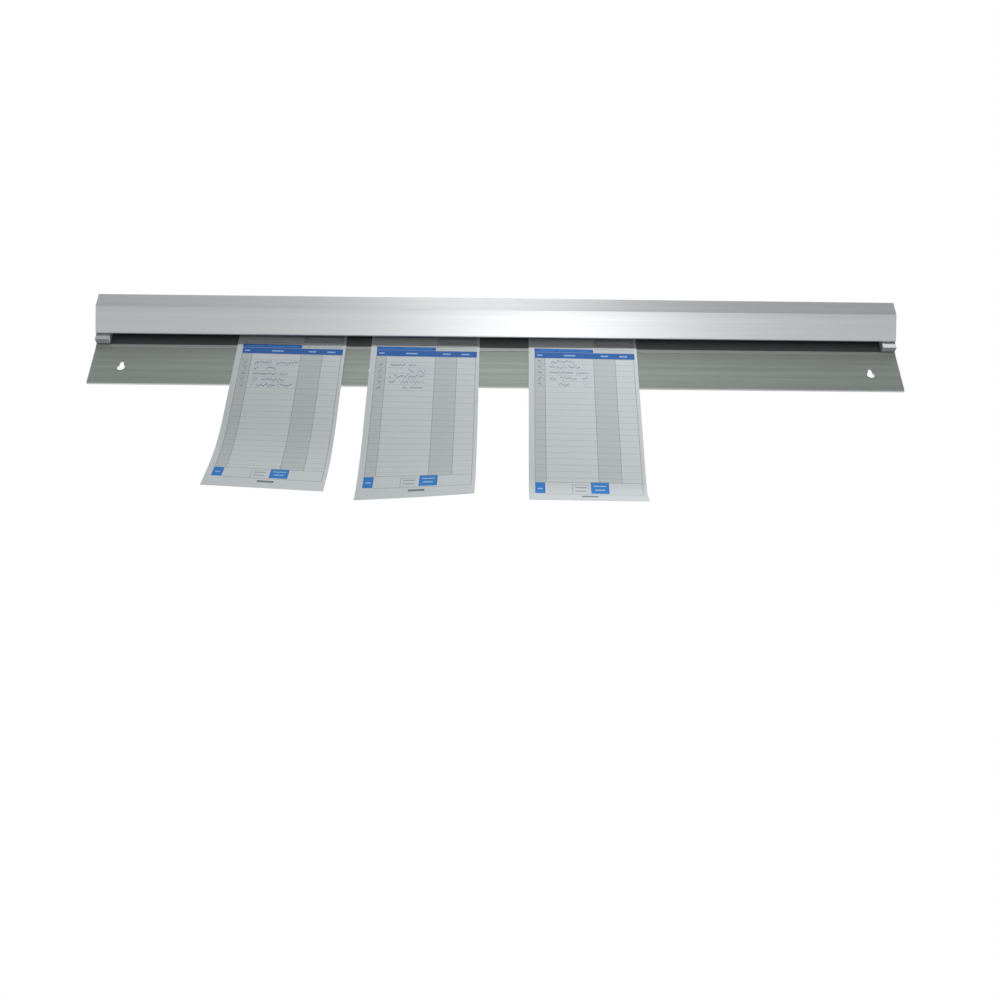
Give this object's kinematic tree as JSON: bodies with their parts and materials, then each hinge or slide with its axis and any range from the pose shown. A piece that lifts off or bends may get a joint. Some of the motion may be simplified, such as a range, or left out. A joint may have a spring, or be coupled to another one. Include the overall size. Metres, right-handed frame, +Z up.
{
  "type": "order ticket rail",
  "caption": "Wall-mounted extruded aluminium rail that holds paper order tickets: glass marbles under a sloping hood pinch each ticket in a slot, and keyholes take wall screws.",
  "frame": {"origin": "on the wall plane, midway along the row of keyholes at the centre height of their entry holes", "axes": "+X along the rail to the right as seen from the front, +Y into the wall, +Z up"},
  "size_m": [0.762, 0.025, 0.2298],
  "materials": {
    "brushed_aluminium": "brushed along its length",
    "grey_plastic": "moulded satin",
    "marble_glass": "polished",
    "ticket_paper": "uncoated"
  },
  "bodies": {
    "rail": {"rail": "brushed_aluminium", "end_plug_left": "grey_plastic", "end_plug_right": "grey_plastic"},
    "marble_01": {"marble_01": "marble_glass"},
    "marble_02": {"marble_02": "marble_glass"},
    "marble_03": {"marble_03": "marble_glass"},
    "marble_04": {"marble_04": "marble_glass"},
    "marble_05": {"marble_05": "marble_glass"},
    "marble_06": {"marble_06": "marble_glass"},
    "marble_07": {"marble_07": "marble_glass"},
    "marble_08": {"marble_08": "marble_glass"},
    "marble_09": {"marble_09": "marble_glass"},
    "marble_10": {"marble_10": "marble_glass"},
    "marble_11": {"marble_11": "marble_glass"},
    "marble_12": {"marble_12": "marble_glass"},
    "marble_13": {"marble_13": "marble_glass"},
    "marble_14": {"marble_14": "marble_glass"},
    "marble_15": {"marble_15": "marble_glass"},
    "marble_16": {"marble_16": "marble_glass"},
    "marble_17": {"marble_17": "marble_glass"},
    "marble_18": {"marble_18": "marble_glass"},
    "marble_19": {"marble_19": "marble_glass"},
    "marble_20": {"marble_20": "marble_glass"},
    "marble_21": {"marble_21": "marble_glass"},
    "marble_22": {"marble_22": "marble_glass"},
    "marble_23": {"marble_23": "marble_glass"},
    "marble_24": {"marble_24": "marble_glass"},
    "marble_25": {"marble_25": "marble_glass"},
    "marble_26": {"marble_26": "marble_glass"},
    "marble_27": {"marble_27": "marble_glass"},
    "marble_28": {"marble_28": "marble_glass"},
    "ticket_left": {"ticket_left": "ticket_paper"},
    "ticket_mid": {"ticket_mid": "ticket_paper"},
    "ticket_right": {"ticket_right": "ticket_paper"}
  },
  "joints": [
    {"name": "draw_ticket_left", "type": "slide", "parent": "rail", "child": "ticket_left", "axis": [0, -0.0142, -0.9999], "range_m": [0, 0.07]},
    {"name": "draw_ticket_mid", "type": "slide", "parent": "rail", "child": "ticket_mid", "axis": [0, -0.0142, -0.9999], "range_m": [0, 0.07]},
    {"name": "draw_ticket_right", "type": "slide", "parent": "rail", "child": "ticket_right", "axis": [0, -0.0142, -0.9999], "range_m": [0, 0.07]},
    {"name": "lift_marble_01", "type": "slide", "parent": "rail", "child": "marble_01", "axis": [0, -0.5592, 0.829], "range_m": [0, 0.0064]},
    {"name": "lift_marble_02", "type": "slide", "parent": "rail", "child": "marble_02", "axis": [0, -0.5592, 0.829], "range_m": [0, 0.0064]},
    {"name": "lift_marble_03", "type": "slide", "parent": "rail", "child": "marble_03", "axis": [0, -0.5592, 0.829], "range_m": [0, 0.0064]},
    {"name": "lift_marble_04", "type": "slide", "parent": "rail", "child": "marble_04", "axis": [0, -0.5592, 0.829], "range_m": [0, 0.0064]},
    {"name": "lift_marble_05", "type": "slide", "parent": "rail", "child": "marble_05", "axis": [0, -0.5592, 0.829], "range_m": [0, 0.0064]},
    {"name": "lift_marble_06", "type": "slide", "parent": "rail", "child": "marble_06", "axis": [0, -0.5592, 0.829], "range_m": [0, 0.0064]},
    {"name": "lift_marble_07", "type": "slide", "parent": "rail", "child": "marble_07", "axis": [0, -0.5592, 0.829], "range_m": [0, 0.0064]},
    {"name": "lift_marble_08", "type": "slide", "parent": "rail", "child": "marble_08", "axis": [0, -0.5592, 0.829], "range_m": [0, 0.0064]},
    {"name": "lift_marble_09", "type": "slide", "parent": "rail", "child": "marble_09", "axis": [0, -0.5592, 0.829], "range_m": [0, 0.0064]},
    {"name": "lift_marble_10", "type": "slide", "parent": "rail", "child": "marble_10", "axis": [0, -0.5592, 0.829], "range_m": [0, 0.0064]},
    {"name": "lift_marble_11", "type": "slide", "parent": "rail", "child": "marble_11", "axis": [0, -0.5592, 0.829], "range_m": [0, 0.0064]},
    {"name": "lift_marble_12", "type": "slide", "parent": "rail", "child": "marble_12", "axis": [0, -0.5592, 0.829], "range_m": [0, 0.0064]},
    {"name": "lift_marble_13", "type": "slide", "parent": "rail", "child": "marble_13", "axis": [0, -0.5592, 0.829], "range_m": [0, 0.0064]},
    {"name": "lift_marble_14", "type": "slide", "parent": "rail", "child": "marble_14", "axis": [0, -0.5592, 0.829], "range_m": [0, 0.0064]},
    {"name": "lift_marble_15", "type": "slide", "parent": "rail", "child": "marble_15", "axis": [0, -0.5592, 0.829], "range_m": [0, 0.0064]},
    {"name": "lift_marble_16", "type": "slide", "parent": "rail", "child": "marble_16", "axis": [0, -0.5592, 0.829], "range_m": [0, 0.0064]},
    {"name": "lift_marble_17", "type": "slide", "parent": "rail", "child": "marble_17", "axis": [0, -0.5592, 0.829], "range_m": [0, 0.0064]},
    {"name": "lift_marble_18", "type": "slide", "parent": "rail", "child": "marble_18", "axis": [0, -0.5592, 0.829], "range_m": [0, 0.0064]},
    {"name": "lift_marble_19", "type": "slide", "parent": "rail", "child": "marble_19", "axis": [0, -0.5592, 0.829], "range_m": [0, 0.0064]},
    {"name": "lift_marble_20", "type": "slide", "parent": "rail", "child": "marble_20", "axis": [0, -0.5592, 0.829], "range_m": [0, 0.0064]},
    {"name": "lift_marble_21", "type": "slide", "parent": "rail", "child": "marble_21", "axis": [0, -0.5592, 0.829], "range_m": [0, 0.0064]},
    {"name": "lift_marble_22", "type": "slide", "parent": "rail", "child": "marble_22", "axis": [0, -0.5592, 0.829], "range_m": [0, 0.0064]},
    {"name": "lift_marble_23", "type": "slide", "parent": "rail", "child": "marble_23", "axis": [0, -0.5592, 0.829], "range_m": [0, 0.0064]},
    {"name": "lift_marble_24", "type": "slide", "parent": "rail", "child": "marble_24", "axis": [0, -0.5592, 0.829], "range_m": [0, 0.0064]},
    {"name": "lift_marble_25", "type": "slide", "parent": "rail", "child": "marble_25", "axis": [0, -0.5592, 0.829], "range_m": [0, 0.0064]},
    {"name": "lift_marble_26", "type": "slide", "parent": "rail", "child": "marble_26", "axis": [0, -0.5592, 0.829], "range_m": [0, 0.0064]},
    {"name": "lift_marble_27", "type": "slide", "parent": "rail", "child": "marble_27", "axis": [0, -0.5592, 0.829], "range_m": [0, 0.0064]},
    {"name": "lift_marble_28", "type": "slide", "parent": "rail", "child": "marble_28", "axis": [0, -0.5592, 0.829], "range_m": [0, 0.0064]}
  ]
}
